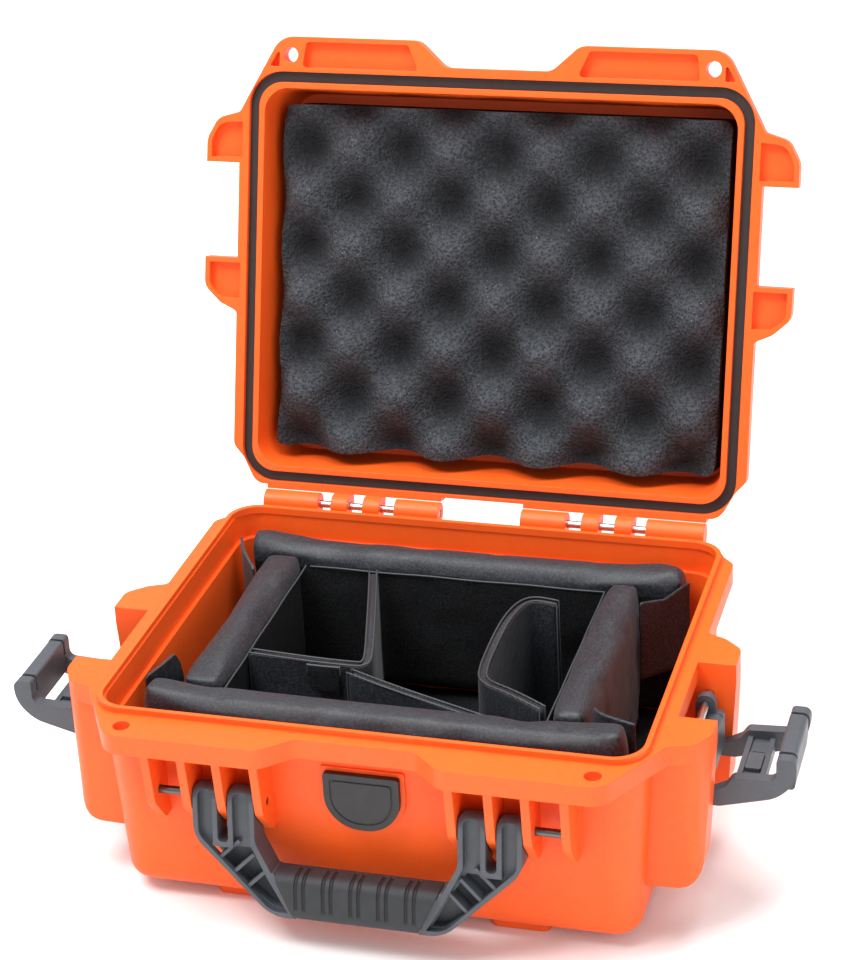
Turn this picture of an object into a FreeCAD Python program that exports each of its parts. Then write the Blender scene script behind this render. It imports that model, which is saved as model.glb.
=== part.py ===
import FreeCAD, Part
import math
import os
import re
import Sketcher

# Hard equipment case, open, with its padded divider insert.  Millimetres; X to the right, Y to the
# back, Z up.  The origin is on the floor under the middle of the four feet.  The lid is drawn closed
# and then turned back about the hinge axis; the handle is drawn hanging and then tilted outwards.

# ---------------------------------------------------------------------------------- driving sizes
SIZES = {
    # base shell
    "rim_height": 106, "seam": 0.3, "side_half": 137.5, "lobe_front": 124, "recess_step": 13.3,
    "rear_edge": 111.5, "flange_depth": 10, "ear_reach": 18, "ear_length": 24, "latch_middle": -33,
    "latch_gap": 50, "lobe_inner": 42.5, "recess_half": 28, "wall": 4, "draft": 5,
    "side_reach": 7, "front_reach": 22.5, "rear_reach": 2.5, "floor_height": 9.5,
    "foot_height": 6, "foot_length": 30, "foot_width": 28.5, "foot_middle": 67.75,
    "tub_corner": 18, "tub_edge": 10, "ledge_depth": 14, "ledge_step": 1.4,
    "flank_bottom": 29, "flank_wall": 3.5, "padlock_bore": 4, "padlock_inset": 9.4,
    # rim seal
    "seal_side": 7.75, "seal_width": 5.4, "seal_depth": 6, "tongue_width": 2.4, "tongue_height": 3,
    # lid shell and foam
    "lid_height": 46, "lid_flange": 8.5, "lid_wall": 3, "lid_roof": 3, "lid_edge": 7, "lid_draft": 3.7,
    "lid_open": 106.87, "foam_depth": 36, "foam_gap": 1,
    # hinge
    "hinge_back": 8.5, "knuckle_radius": 6, "pin_radius": 2, "pin_fit": 0.05,
    "knuckle_outer": 118.1, "knuckle_outer_width": 30, "knuckle_inner": 22.1,
    "knuckle_inner_width": 24, "lid_knuckle_width": 9, "lid_knuckle_near": 54.35,
    "lid_knuckle_far": 71.8,
    # handle
    "handle_pin_drop": 35, "handle_pin_out": 8.7, "rib_inner": 43.6, "rib_middle": 61.7,
    "rib_outer": 78.6, "rib_end": 96.4, "rib_width": 4.1, "rib_drop": 53.5, "handle_half": 6.5,
    "handle_low": 55.5, "handle_high": 33.5, "handle_top": 7.8, "handle_tilt": 8,
    "channel_wall": 2.4, "channel_shallow": 3.6, "channel_deep": 9, "fork_low": 20.5,
    "grip_low_half": 29.2, "grip_slope": 0.457, "grip_skin": 2.8, "core_inset": 3.2,
    # relief valve
    "vent_half": 18, "vent_drop": 20, "vent_tall": 29, "vent_thick": 3, "valve_radius": 6,
    "valve_head": 9.5,
    # latches
    "link_pin_out": 5.5, "link_pin_drop": 16, "lever_pin_out": 4.5, "lever_pin_drop": 30.5,
    "arm_width": 5.6, "arm_reach": 40, "claw_thick": 8.6, "claw_height": 12.5, "arm_drop": 15.5,
    "link_width": 4, "side_play": 0.7, "lock_width": 7.4, "lock_length": 14,
    # padded insert
    "pad_height": 83, "back_pad": 17, "front_pad": 22, "front_pad_face": -53, "left_pad": 23,
    "left_pad_face": -84.5, "right_pad": 20, "right_pad_face": 74, "pad_floor": 6,
    "divider_height": 76, "divider_thick": 5, "soft_gap": 0.3,
}

doc = FreeCAD.newDocument("EquipmentCase")
sheet = doc.addObject("Spreadsheet::Sheet", "Dims")
for row, (alias, number) in enumerate(SIZES.items(), start=1):
    sheet.set(f"A{row}", alias)
    sheet.set(f"B{row}", str(number))
    sheet.setAlias(f"B{row}", alias)
doc.recompute()

# ------------------------------------------------------------- places worked out from those sizes
RECESS = "(lobe_front - recess_step)"
HINGE_Y = "(rear_edge + hinge_back)"
FLANGE_LOW = "(rim_height - flange_depth)"
LID_LOW = "(rim_height + seam)"
LID_FLANGE_TOP = "(rim_height + seam + lid_flange)"
LID_TOP = "(rim_height + lid_height)"
GAP_FRONT = "(latch_middle - latch_gap / 2)"
GAP_REAR = "(latch_middle + latch_gap / 2)"
EAR = "(side_half + ear_reach)"
TUB_SIDE = "(side_half - side_reach)"
TUB_FRONT = "(lobe_front - front_reach)"
TUB_REAR = "(rear_edge - rear_reach)"
CAVITY_SIDE = f"({TUB_SIDE} - wall)"
CAVITY_FRONT = f"({TUB_FRONT} - wall)"
CAVITY_REAR = f"({TUB_REAR} - wall)"
SEAL_SIDE = "(side_half - seal_side)"
SEAL_FRONT = f"({RECESS} - seal_side + 0.35)"
SEAL_REAR = "(rear_edge - 4.6)"
PADLOCK_X = "(side_half - 27.1)"
PADLOCK_Y = "(-(lobe_front - padlock_inset))"
HANDLE_Y = f"(-({TUB_FRONT} + handle_pin_out))"
HANDLE_Z = "(rim_height - handle_pin_drop)"
VENT_FACE = f"(-({TUB_FRONT} + 0.6))"
VENT_Z = "(rim_height - vent_drop - vent_tall / 2)"
LINK_X = "(side_half + link_pin_out)"
LINK_Z = "(rim_height - link_pin_drop)"
LEVER_X = "(side_half + lever_pin_out)"
LEVER_Z = "(rim_height - lever_pin_drop)"
PAD_LOW = "(floor_height + 0.3 + pad_floor + soft_gap)"
PAD_BACK = f"({CAVITY_REAR} - draft - 0.5)"


def bound(text):
    """The expression with every size name pointed at the sheet."""
    return re.sub(r"[a-z]\w*", lambda word: "Dims." + word[0] if word[0] in SIZES else word[0], str(text))


def value(text):
    """The number that an expression has now."""
    result = sheet.evalExpression(bound(text))
    return float(getattr(result, "Value", result))


def both_sides(half):
    """A closed outline from its right half, which runs from the front middle to the back middle."""
    mirrored = [(f"-({x})", y, r) for x, y, r in reversed(half)]
    return half + mirrored


def rectangle(low_x, high_x, low_y, high_y, radius=0):
    """The four corners of an upright rectangle, all with one radius."""
    return [(low_x, low_y, radius), (high_x, low_y, radius), (high_x, high_y, radius), (low_x, high_y, radius)]


def signed(side, corners):
    """The same corners on the right (side 1) or mirrored to the left (side -1)."""
    return [(f"{side} * ({x})", y, r) for x, y, r in corners]


# ----------------------------------------------------------------------------- drawing functions
def add_loop(sketch, corners):
    """One closed loop of lines and tangent arcs, each corner tied to its expressions."""
    number = [(value(x), value(y), value(r)) for x, y, r in corners]
    count = len(number)
    vector = FreeCAD.Vector
    entry, leave, arcs = [], [], []
    for i, (x, y, radius) in enumerate(number):
        here = vector(x, y, 0)
        back = (vector(*number[i - 1][:2], 0) - here).normalize()
        ahead = (vector(*number[(i + 1) % count][:2], 0) - here).normalize()
        if radius <= 0:
            entry.append(here)
            leave.append(here)
            arcs.append(None)
            continue
        half = back.getAngle(ahead) / 2
        entry.append(here + back * (radius / math.tan(half)))
        leave.append(here + ahead * (radius / math.tan(half)))
        centre = here + (back + ahead).normalize() * (radius / math.sin(half))
        turn_left = (here - vector(*number[i - 1][:2], 0)).cross(ahead).z > 0
        first, last = (entry[-1], leave[-1]) if turn_left else (leave[-1], entry[-1])
        start = math.atan2(first.y - centre.y, first.x - centre.x)
        end = math.atan2(last.y - centre.y, last.x - centre.x)
        circle = Part.Circle(centre, vector(0, 0, 1), radius)
        arcs.append((Part.ArcOfCircle(circle, start, end), turn_left))
    lines = [sketch.addGeometry(Part.LineSegment(leave[i], entry[(i + 1) % count]), False) for i in range(count)]
    rules, named = [], []
    for i, (x, y, radius) in enumerate(corners):
        before, after = lines[i - 1], lines[i]
        if arcs[i] is None:
            rules.append(Sketcher.Constraint("Coincident", before, 2, after, 1))
            anchor = after
        else:
            arc, turn_left = arcs[i]
            bend = sketch.addGeometry(arc, False)
            anchor = sketch.addGeometry(Part.Point(vector(*number[i][:2], 0)), True)
            near, far = (1, 2) if turn_left else (2, 1)
            rules.append(Sketcher.Constraint("Tangent", before, 2, bend, near))
            rules.append(Sketcher.Constraint("Tangent", bend, far, after, 1))
            rules.append(Sketcher.Constraint("PointOnObject", anchor, 1, before))
            rules.append(Sketcher.Constraint("PointOnObject", anchor, 1, after))
            named.append((Sketcher.Constraint("Radius", bend, number[i][2]), radius))
        named.append((Sketcher.Constraint("DistanceX", -1, 1, anchor, 1, number[i][0]), x))
        named.append((Sketcher.Constraint("DistanceY", -1, 1, anchor, 1, number[i][1]), y))
    sketch.addConstraint(rules)
    for rule, text in named:
        index = sketch.addConstraint(rule)
        if re.search("[a-z]", str(text)):
            sketch.setExpression(f"Constraints[{index}]", bound(text))


def add_circle(sketch, x, y, radius):
    """One circle tied to its expressions."""
    centre = FreeCAD.Vector(value(x), value(y), 0)
    ring = sketch.addGeometry(Part.Circle(centre, FreeCAD.Vector(0, 0, 1), value(radius)), False)
    for kind, text in (("DistanceX", x), ("DistanceY", y)):
        index = sketch.addConstraint(Sketcher.Constraint(kind, -1, 1, ring, 3, value(text)))
        sketch.setExpression(f"Constraints[{index}]", bound(text))
    index = sketch.addConstraint(Sketcher.Constraint("Radius", ring, value(radius)))
    sketch.setExpression(f"Constraints[{index}]", bound(radius))


def draw(body, plane, level, loops, circles=()):
    """A sketch on one of the body's own planes, moved out to a level along the plane's axis."""
    sketch = body.newObject("Sketcher::SketchObject", body.Name + "_sketch")
    origin_plane = next(f for f in body.Origin.OriginFeatures if f.Role == plane + "_Plane")
    sketch.AttachmentSupport = [(origin_plane, "")]
    sketch.MapMode = "FlatFace"
    facing = "-" if plane == "XZ" else ""
    sketch.setExpression("AttachmentOffset.Base.z", bound(f"{facing}({level})"))
    for corners in loops:
        add_loop(sketch, corners)
    for circle in circles:
        add_circle(sketch, *circle)
    return sketch


def extrude(kind, body, plane, low, high, loops, circles):
    """A pad or pocket between two levels along the plane's axis."""
    start = high if plane == "XZ" else low
    profile = draw(body, plane, start, loops, circles)
    feature = body.newObject("PartDesign::" + kind, body.Name + "_" + kind.lower())
    feature.Profile = profile
    feature.setExpression("Length", bound(f"({high}) - ({low})"))
    feature.Reversed = kind == "Pocket"
    return feature


def pad(body, plane, low, high, *loops, circles=()):
    return extrude("Pad", body, plane, low, high, loops, circles)


def pocket(body, plane, low, high, *loops, circles=()):
    return extrude("Pocket", body, plane, low, high, loops, circles)


def hollow(body, first_level, first, last_level, last):
    """A tapered hollow between two level outlines."""
    start = draw(body, "XY", first_level, [first])
    end = draw(body, "XY", last_level, [last])
    feature = body.newObject("PartDesign::SubtractiveLoft", body.Name + "_hollow")
    feature.Profile = start
    feature.Sections = [end]
    feature.Ruled = True
    return feature


def tapered_pad(body, start, end, outline, draw_in):
    """A block that narrows by draw_in on every side from its start level to its end level."""
    profile = draw(body, "XY", start, [outline])
    feature = body.newObject("PartDesign::Pad", body.Name + "_tapered")
    feature.Profile = profile
    feature.Reversed = value(end) < value(start)
    feature.setExpression("Length", bound(f"abs({end} - {start})"))
    feature.setExpression("TaperAngle", bound(f"-atan(({draw_in}) / abs({end} - {start}))"))
    return feature


def round_edges(body, radius, chosen):
    """Fillets the body's edges for which chosen(edge) holds."""
    doc.recompute()
    tip = body.Tip
    names = [f"Edge{i}" for i, edge in enumerate(tip.Shape.Edges, start=1) if chosen(edge)]
    feature = body.newObject("PartDesign::Fillet", body.Name + "_fillet")
    feature.Base = (tip, names)
    feature.setExpression("Radius", bound(radius))
    return feature


def flat_at(axis, level):
    """A test for edges that lie wholly at one level of an axis."""
    low, high = {"x": ("XMin", "XMax"), "y": ("YMin", "YMax"), "z": ("ZMin", "ZMax")}[axis]

    def test(edge):
        box = edge.BoundBox
        return abs(getattr(box, low) - level) < 0.02 and abs(getattr(box, high) - level) < 0.02

    return test


def along_x(shortest):
    """A test for straight edges that run along X for at least a given length."""
    return lambda edge: edge.BoundBox.XLength > shortest and edge.BoundBox.YLength + edge.BoundBox.ZLength < 0.02


def new_body(label):
    body = doc.addObject("PartDesign::Body", label)
    body.Label = label
    return body


AXIS_TURN = {
    "x": FreeCAD.Rotation(FreeCAD.Vector(0, 1, 0), 90),
    "y": FreeCAD.Rotation(FreeCAD.Vector(1, 0, 0), -90),
    "z": FreeCAD.Rotation(),
}


def cylinder(label, axis, radius, low, high, first, second):
    """A round bar along an axis; first and second are its place on the other two axes, in X, Y, Z order."""
    bar = doc.addObject("Part::Cylinder", label)
    bar.Label = label
    bar.Placement = FreeCAD.Placement(FreeCAD.Vector(), AXIS_TURN[axis])
    bar.setExpression("Radius", bound(radius))
    bar.setExpression("Height", bound(f"({high}) - ({low})"))
    others = iter((first, second))
    for name in "xyz":
        bar.setExpression(f"Placement.Base.{name}", bound(low if name == axis else next(others)))
    return bar


def box(label, low_x, high_x, low_y, high_y, low_z, high_z):
    """An upright block between two corners."""
    block = doc.addObject("Part::Box", label)
    block.Label = label
    limits = (("Length", "x", low_x, high_x), ("Width", "y", low_y, high_y), ("Height", "z", low_z, high_z))
    for size, name, low, high in limits:
        block.setExpression(size, bound(f"({high}) - ({low})"))
        block.setExpression(f"Placement.Base.{name}", bound(low))
    return block


def turn_about_x(body, y, z, angle):
    """Turns a body about an axis along X through (y, z) by minus the angle, tied to the sheet."""
    body.setExpression("Placement.Rotation.Axis.x", "-1")
    body.setExpression("Placement.Rotation.Axis.y", "0")
    body.setExpression("Placement.Rotation.Axis.z", "0")
    body.setExpression("Placement.Rotation.Angle", bound(f"({angle}) * 1 deg"))
    body.setExpression("Placement.Base.y", bound(f"{y} * (1 - cos({angle})) - {z} * sin({angle})"))
    body.setExpression("Placement.Base.z", bound(f"{z} * (1 - cos({angle})) + {y} * sin({angle})"))


# ------------------------------------------------------------------------------------- rim outline
def rim_outline():
    """Plan of the parting flange: two front lobes, a middle recess, and two ears at each latch."""
    return both_sides([
        ("recess_half", f"-{RECESS}", 9),
        ("lobe_inner", "-lobe_front", 9),
        ("side_half - 21.5", "-lobe_front", 12),
        ("side_half - 4.5", "-(lobe_front - 31)", 10),
        ("side_half", f"{GAP_FRONT} - ear_length - 2.5", 3),
        (f"{EAR} - 6", f"{GAP_FRONT} - ear_length + 1", 8),
        (EAR, f"{GAP_FRONT} - ear_length / 2", 12),
        (EAR, GAP_FRONT, 0),
        ("side_half", GAP_FRONT, 0),
        ("side_half", GAP_REAR, 0),
        (EAR, GAP_REAR, 0),
        (EAR, f"{GAP_REAR} + ear_length * 0.65", 8),
        (f"{EAR} - 9", f"{GAP_REAR} + ear_length", 6),
        ("side_half", f"{GAP_REAR} + ear_length + 4", 3),
        ("side_half", "rear_edge - 20", 6),
        ("side_half - 6", "rear_edge - 13.5", 4),
        ("side_half - 13", "rear_edge", 8),
    ])


def front_ear(side, inset, inner_x):
    """Plan of the front ear only, from the shell wall outwards, drawn in by an inset."""
    return signed(side, [
        (inner_x, f"{GAP_FRONT} - {inset}", 0),
        (f"{EAR} - {inset}", f"{GAP_FRONT} - {inset}", 0),
        (f"{EAR} - {inset}", f"{GAP_FRONT} - ear_length / 2", 12),
        (f"{EAR} - 6 - {inset} / 2", f"{GAP_FRONT} - ear_length + 1 + {inset}", 8),
        (inner_x, f"{GAP_FRONT} - ear_length + {inset}", 0),
    ])


def rear_ear(side, inset, inner_x):
    """Plan of the rear ear only, drawn in by an inset."""
    return signed(side, [
        (inner_x, f"{GAP_REAR} + {inset}", 0),
        (f"{EAR} - {inset}", f"{GAP_REAR} + {inset}", 0),
        (f"{EAR} - {inset}", f"{GAP_REAR} + ear_length * 0.65", 8),
        (f"{EAR} - 9 - {inset} / 2", f"{GAP_REAR} + ear_length - {inset}", 6),
        (inner_x, f"{GAP_REAR} + ear_length - {inset}", 0),
    ])


def ring(offset, radius):
    """A rounded rectangle that follows the seal line, moved outwards by an offset."""
    return rectangle(f"-({SEAL_SIDE} + {offset})", f"{SEAL_SIDE} + {offset}",
                     f"-({SEAL_FRONT} + {offset})", f"{SEAL_REAR} + {offset}", radius)


def tub_plan(draw_in, radius):
    """Plan of the tub's outside, drawn in by an amount."""
    return rectangle(f"-({TUB_SIDE} - {draw_in})", f"{TUB_SIDE} - {draw_in}",
                     f"-({TUB_FRONT} - {draw_in})", f"{TUB_REAR} - {draw_in}", radius)


def hinge_knuckle(body, low, high, rising):
    """A barrel on the hinge axis with the web that joins it to the rear flange edge."""
    reach = "-(flange_depth - 1)" if rising < 0 else "(lid_flange - 0.5)"
    root = "rim_height" if rising < 0 else LID_LOW
    web = [
        ("rear_edge - 2", root, 0),
        ("rear_edge - 2", f"rim_height + {reach}", 0),
        (f"{HINGE_Y} - 1", f"rim_height + {reach}", 3),
        (f"{HINGE_Y} + knuckle_radius - 0.6", f"rim_height + {rising} * 2", 0),
        (f"{HINGE_Y} + 1", root, 0),
    ]
    pad(body, "YZ", low, high, web)
    pad(body, "YZ", low, high, circles=[(HINGE_Y, "rim_height", "knuckle_radius")])


# -------------------------------------------------------------------------------------- base shell
def handle_rib(body, low, side):
    """An upright plate on the front wall that carries a handle pin."""
    near, far = f"{low}", f"{low} + rib_width"
    if side < 0:
        near, far = f"-({low} + rib_width)", f"-({low})"
    pad(body, "YZ", near, far, [
        (f"-({TUB_FRONT} - 2.6)", f"{FLANGE_LOW} + 1", 0),
        ("-(lobe_front - 3)", f"{FLANGE_LOW} + 1", 0),
        (f"{HANDLE_Y} - 7", f"{HANDLE_Z} - 4", 8),
        (f"-({TUB_FRONT} + 4)", "rim_height - rib_drop", 4),
        (f"-({TUB_FRONT} - 2.6)", "rim_height - rib_drop", 0),
    ])


def make_base_shell():
    body = new_body("base_shell")
    tapered_pad(body, FLANGE_LOW, "(foot_height - 0.5)", tub_plan("0", "tub_corner"), "draft")
    round_edges(body, "tub_edge", flat_at("z", value("foot_height - 0.5")))
    pad(body, "XY", FLANGE_LOW, "rim_height", rim_outline())
    for side in (1, -1):
        for ear in (front_ear, rear_ear):
            pad(body, "XY", "flank_bottom", FLANGE_LOW, ear(side, "0", f"{TUB_SIDE} - 3.5"))
        # The flanks lean in and round under towards the tub.
        pocket(body, "XZ", "-lobe_front", "rear_edge", signed(side, [
            (f"{EAR} + 0.01", FLANGE_LOW, 0),
            (f"{EAR} - 4", "flank_bottom", 12),
            (f"{TUB_SIDE} + 3", "flank_bottom - 0.01", 0),
            (f"{TUB_SIDE} + 3", "flank_bottom - 8", 0),
            (f"{EAR} + 20", "flank_bottom - 8", 0),
            (f"{EAR} + 20", FLANGE_LOW, 0),
        ]))
        for ear in (front_ear, rear_ear):
            core = ear(side, "flank_wall", f"{TUB_SIDE} + 1.5")
            narrowed = [(x.replace(EAR, f"({EAR} - 5)"), y, 0) for x, y, r in core]
            pocket(body, "XY", "flank_bottom - 1", f"{LINK_Z} - 6", narrowed)
        for low in ("rib_inner", "rib_middle", "rib_outer", "rib_end"):
            handle_rib(body, low, side)
        for middle in (f"-({TUB_FRONT} - 29)", f"{TUB_REAR} - 33"):
            pad(body, "XY", "0", "foot_height + 2", rectangle(
                f"{side} * foot_middle - foot_width / 2", f"{side} * foot_middle + foot_width / 2",
                f"{middle} - foot_length / 2", f"{middle} + foot_length / 2", 4))
        outer = [f"{side} * knuckle_outer", f"{side} * (knuckle_outer - knuckle_outer_width)"]
        inner = [f"{side} * (knuckle_inner + knuckle_inner_width)", f"{side} * knuckle_inner"]
        for ends in (outer, inner):
            low, high = ends if side < 0 else ends[::-1]
            hinge_knuckle(body, low, high, -1)
    # Raised pad behind the relief valve.
    pad(body, "XZ", VENT_FACE, f"-({TUB_FRONT} - 3)", vent_outline("2"))
    hollow(body, "floor_height", cavity_plan("draft"), "rim_height", cavity_plan("0"))
    pocket(body, "XY", "rim_height - ledge_depth", "rim_height", cavity_plan("-ledge_step"))
    pad(body, "XY", "rim_height - 1", "rim_height + tongue_height",
        ring("tongue_width / 2", 16), ring("-tongue_width / 2", 14))
    pocket(body, "XY", "0", "rim_height + 1", circles=[
        (PADLOCK_X, PADLOCK_Y, "padlock_bore"), (f"-{PADLOCK_X}", PADLOCK_Y, "padlock_bore")])
    bore_hinge(body)
    # Bores for the handle pins and the link pins.
    for side in (1, -1):
        low, high = ("rib_inner - 1", "rib_end + rib_width - 1.5")
        if side < 0:
            low, high = f"-({high})", f"-({low})"
        pocket(body, "YZ", low, high, circles=[(HANDLE_Y, HANDLE_Z, "pin_radius + pin_fit")])
        pocket(body, "XZ", f"{GAP_FRONT} - 6", f"{GAP_REAR} + 6",
               circles=[(f"{side} * {LINK_X}", LINK_Z, "pin_radius + pin_fit")])
    # Counterbore and bore of the relief valve.
    pocket(body, "XZ", f"{VENT_FACE} - 1", f"{VENT_FACE} + 3.2", circles=[("0", VENT_Z, "valve_head + 0.3")])
    pocket(body, "XZ", VENT_FACE, f"-({TUB_FRONT} - 12)", circles=[("0", VENT_Z, "valve_radius + 0.2")])
    return body


def cavity_plan(draw_in):
    """Plan of the tub's hollow, drawn in by an amount."""
    return rectangle(f"-({CAVITY_SIDE} - ({draw_in}))", f"{CAVITY_SIDE} - ({draw_in})",
                     f"-({CAVITY_FRONT} - ({draw_in}))", f"{CAVITY_REAR} - ({draw_in})", "tub_corner - 6")


def vent_outline(grow):
    """The D-shaped outline of the relief valve's cover, grown by an amount."""
    top = f"rim_height - vent_drop + ({grow})"
    low = f"rim_height - vent_drop - vent_tall - ({grow})"
    wide = f"(vent_half + ({grow}))"
    bowl = f"({wide} - 1)"
    return [(f"-{wide}", top, 1.5), (wide, top, 1.5), (wide, low, bowl), (f"-{wide}", low, bowl)]


def bore_hinge(body):
    """The long bore for the hinge pins, open at the inner knuckles."""
    for side in (1, -1):
        low, high = "knuckle_inner - 1", "knuckle_outer - 2"
        if side < 0:
            low, high = f"-({high})", f"-({low})"
        pocket(body, "YZ", low, high, circles=[(HINGE_Y, "rim_height", "pin_radius + pin_fit")])


# --------------------------------------------------------------------------------------------- lid
def lid_plan(draw_in, radius):
    """Plan of the lid's dome or hollow, drawn in from the seal groove's inner side."""
    side = f"({SEAL_SIDE} - seal_width / 2 - ({draw_in}))"
    front = f"({SEAL_FRONT} - seal_width / 2 - ({draw_in}))"
    return rectangle(f"-{side}", side, f"-{front}", f"{SEAL_REAR} - seal_width / 2 - ({draw_in})", radius)


def make_lid():
    body = new_body("lid_shell")
    tapered_pad(body, LID_LOW, LID_TOP, lid_plan("-0.5", 16), "lid_draft")
    round_edges(body, "lid_edge", flat_at("z", value(LID_TOP)))
    pad(body, "XY", LID_LOW, LID_FLANGE_TOP, rim_outline())
    for side in (1, -1):
        for middle in ("lid_knuckle_near", "lid_knuckle_far"):
            ends = [f"{side} * {middle}", f"{side} * ({middle} + lid_knuckle_width)"]
            low, high = ends if side > 0 else ends[::-1]
            hinge_knuckle(body, low, high, 1)
        # The flange reaches back to the barrels all along the hinge.
        pad(body, "XY", LID_LOW, LID_FLANGE_TOP, signed(side, rectangle(
            "knuckle_inner", "knuckle_outer", "rear_edge - 1", f"{HINGE_Y} - knuckle_radius - 0.3")))
        # Shallow moulding pockets in the lobes and ears, open towards the base.
        pocket(body, "XY", f"{LID_LOW} - 1", f"{LID_LOW} + 4.5", signed(side, [
            ("lobe_inner + 5", "-(lobe_front - 2.6)", 2),
            ("side_half - 35.5", "-(lobe_front - 2.6)", 2),
            ("side_half - 33.5", f"-({SEAL_FRONT} + 5)", 2),
            ("lobe_inner - 1", f"-({SEAL_FRONT} + 5)", 2),
        ]))
        pocket(body, "XY", f"{LID_LOW} - 1", f"{LID_LOW} + 4.5", signed(side, [
            ("side_half - 21.1", "-(lobe_front - 6)", 0.8),
            ("side_half - 15.7", f"-({SEAL_FRONT} + 5.3)", 0.8),
            ("side_half - 21.1", f"-({SEAL_FRONT} + 5.3)", 0.8),
        ]))
        for ear in (front_ear, rear_ear):
            pocket(body, "XY", f"{LID_LOW} - 1", f"{LID_LOW} + 4.5", ear(side, "2.6", "side_half - 1.5"))
    hollow(body, f"{LID_LOW} - 0.01", lid_plan("lid_wall", 13),
         f"{LID_TOP} - lid_roof", lid_plan("lid_wall + 3.6", 13))
    pocket(body, "XY", f"{LID_LOW} - 1", f"{LID_LOW} + seal_depth",
           ring("seal_width / 2", 18), ring("-seal_width / 2", 13))
    pocket(body, "XY", LID_LOW, f"{LID_FLANGE_TOP} + 1", circles=[
        (PADLOCK_X, PADLOCK_Y, "padlock_bore"), (f"-{PADLOCK_X}", PADLOCK_Y, "padlock_bore")])
    bore_hinge(body)

    gasket = new_body("lid_gasket")
    pad(gasket, "XY", "rim_height + tongue_height + 0.3", f"{LID_LOW} + seal_depth - 0.02",
        ring("seal_width / 2 - 0.15", 17.85), ring("-seal_width / 2 + 0.15", 13.15))

    foam = new_body("lid_foam")
    roof = f"({LID_TOP} - lid_roof - soft_gap)"
    pad(foam, "XY", f"{roof} - foam_depth", roof, lid_plan("lid_wall + 3.6 + foam_gap", 12))
    for piece in (body, gasket, foam):
        turn_about_x(piece, HINGE_Y, "rim_height", "lid_open")


def make_hinge_pins():
    for name, side in (("right", 1), ("left", -1)):
        low, high = "knuckle_inner + 0.4", "knuckle_outer - 2.5"
        if side < 0:
            low, high = f"-({high})", f"-({low})"
        cylinder(f"hinge_pin_{name}", "x", "pin_radius", low, high, HINGE_Y, "rim_height")


# ------------------------------------------------------------------------------------------ handle
HANDLE_LOW = f"({HANDLE_Z} - handle_low)"
HANDLE_HIGH = f"({HANDLE_Z} - handle_high)"
FINGER_TOP = f"({HANDLE_Z} + handle_top)"
ARM_OUTER = "(rib_outer - 0.5)"
FORK_OUTER = "(rib_middle + rib_width + 0.5)"
FORK_INNER = "(rib_middle - 0.5)"
ARM_INNER = "(rib_inner + rib_width + 0.6)"
ARM_KNEE = f"({HANDLE_Z} - 19)"


def grip_end(level, out):
    """Half length of the slanted grip at a height, moved out by an amount."""
    return f"(grip_low_half + ({level} - {HANDLE_LOW}) * grip_slope + {out})"


def arm_point(share, across):
    """A point in the slanted channel of the handle's arm, a share of the way down and across it."""
    x = f"({ARM_OUTER} - 10 - {share} * 28 + ({across}) * 0.707)"
    z = f"({ARM_KNEE} + 1 - {share} * 25 - ({across}) * 0.707)"
    return x, z


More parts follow.
